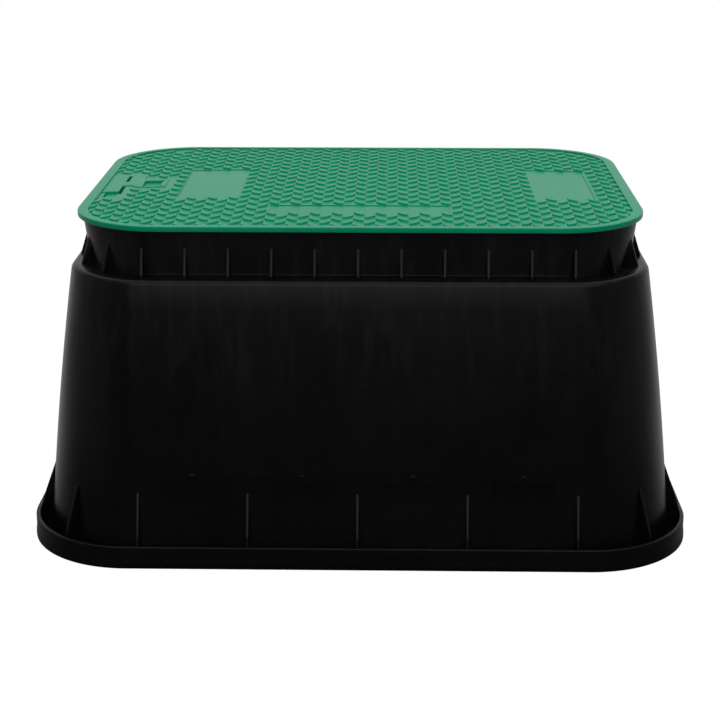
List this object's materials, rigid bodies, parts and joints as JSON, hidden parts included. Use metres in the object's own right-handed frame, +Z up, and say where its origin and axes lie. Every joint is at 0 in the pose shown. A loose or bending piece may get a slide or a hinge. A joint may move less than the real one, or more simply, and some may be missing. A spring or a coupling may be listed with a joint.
{
  "type": "irrigation valve box",
  "caption": "Bottomless rectangular ground box with a flared ribbed wall, a flanged foot and a lift-off cover with a herringbone tread.",
  "frame": {"origin": "centre of the foot flange, on the ground", "axes": "+X along the long side, towards the end without the catch; +Y from the front to the back; +Z up"},
  "size_m": [0.5206, 0.3956, 0.2609],
  "materials": {
    "black_moulding": "satin black structural polyethylene, lightly grained by the mould",
    "green_moulding": "satin green structural polyethylene, with a raised tread"
  },
  "bodies": {
    "box": {"box_body": "black_moulding"},
    "cover": {"lid": "green_moulding"}
  },
  "joints": [
    {"name": "lid_lift", "type": "slide", "parent": "box", "child": "cover", "axis": [0, 0, 1], "range_m": [0, 0.1]}
  ]
}
